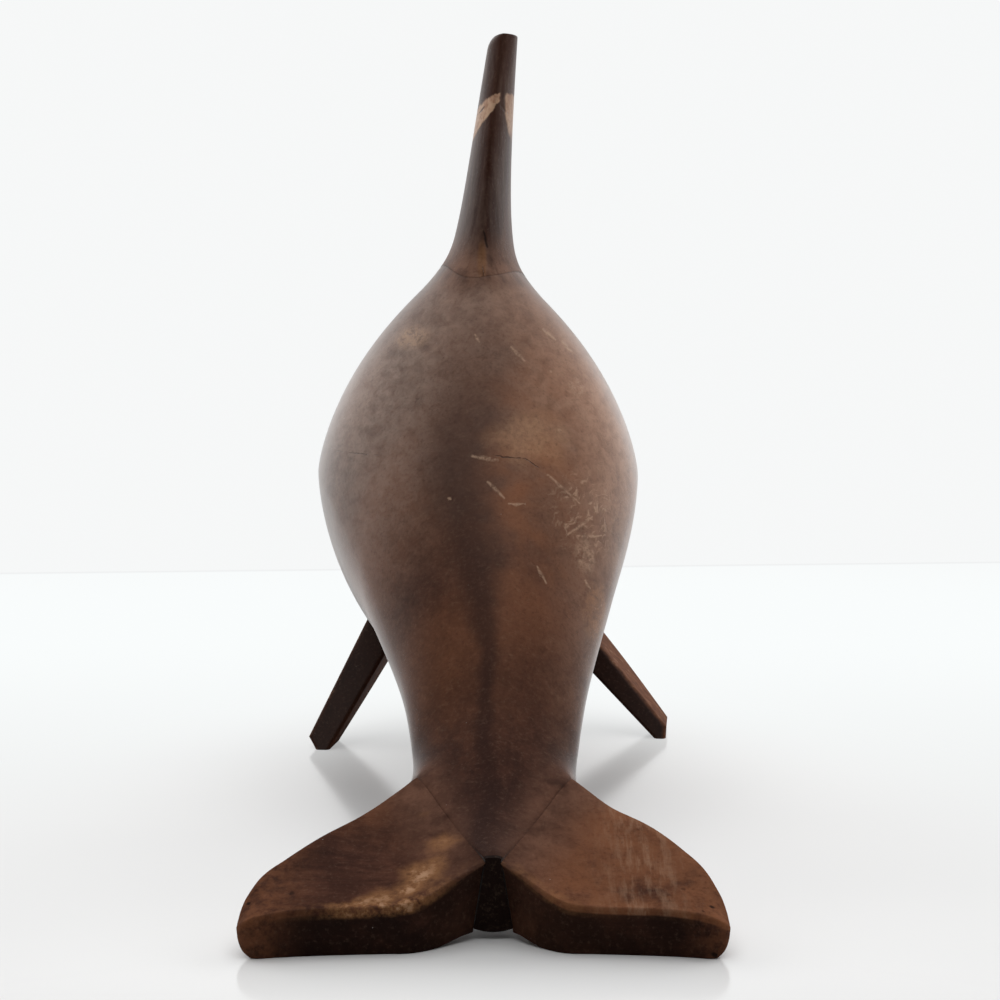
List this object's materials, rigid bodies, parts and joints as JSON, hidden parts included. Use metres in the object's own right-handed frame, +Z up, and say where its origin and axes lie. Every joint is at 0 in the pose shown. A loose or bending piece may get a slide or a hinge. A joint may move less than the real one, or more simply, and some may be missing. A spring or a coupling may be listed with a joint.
{
  "type": "carved wooden whale",
  "caption": "Stout whale carved in dark hardwood, with a tall dorsal fin, standing on its tail flukes and flipper tips.",
  "frame": {"origin": "on the table, under the middle of the overall box", "axes": "+Y from the tail to the head, +X to the whale's right, +Z up from the table"},
  "size_m": [0.101, 0.3099, 0.185],
  "materials": {
    "dark_hardwood": "oiled and worn, semi-gloss",
    "warm_hardwood": "oiled and worn, semi-gloss",
    "dowel_wood": "bare",
    "wood_filler": "matt"
  },
  "bodies": {
    "root": {"body": "dark_hardwood", "dorsal_fin": "dark_hardwood", "fin_tip": "dark_hardwood", "fin_tip_filler": "wood_filler", "fin_tip_pin": "dowel_wood", "fin_dowel_front": "dowel_wood", "fin_dowel_rear": "dowel_wood", "left_flipper": "dark_hardwood", "right_flipper": "dark_hardwood", "left_fluke": "warm_hardwood", "right_fluke": "warm_hardwood", "fluke_dowel_front": "dowel_wood", "fluke_dowel_rear": "dowel_wood"}
  },
  "joints": []
}
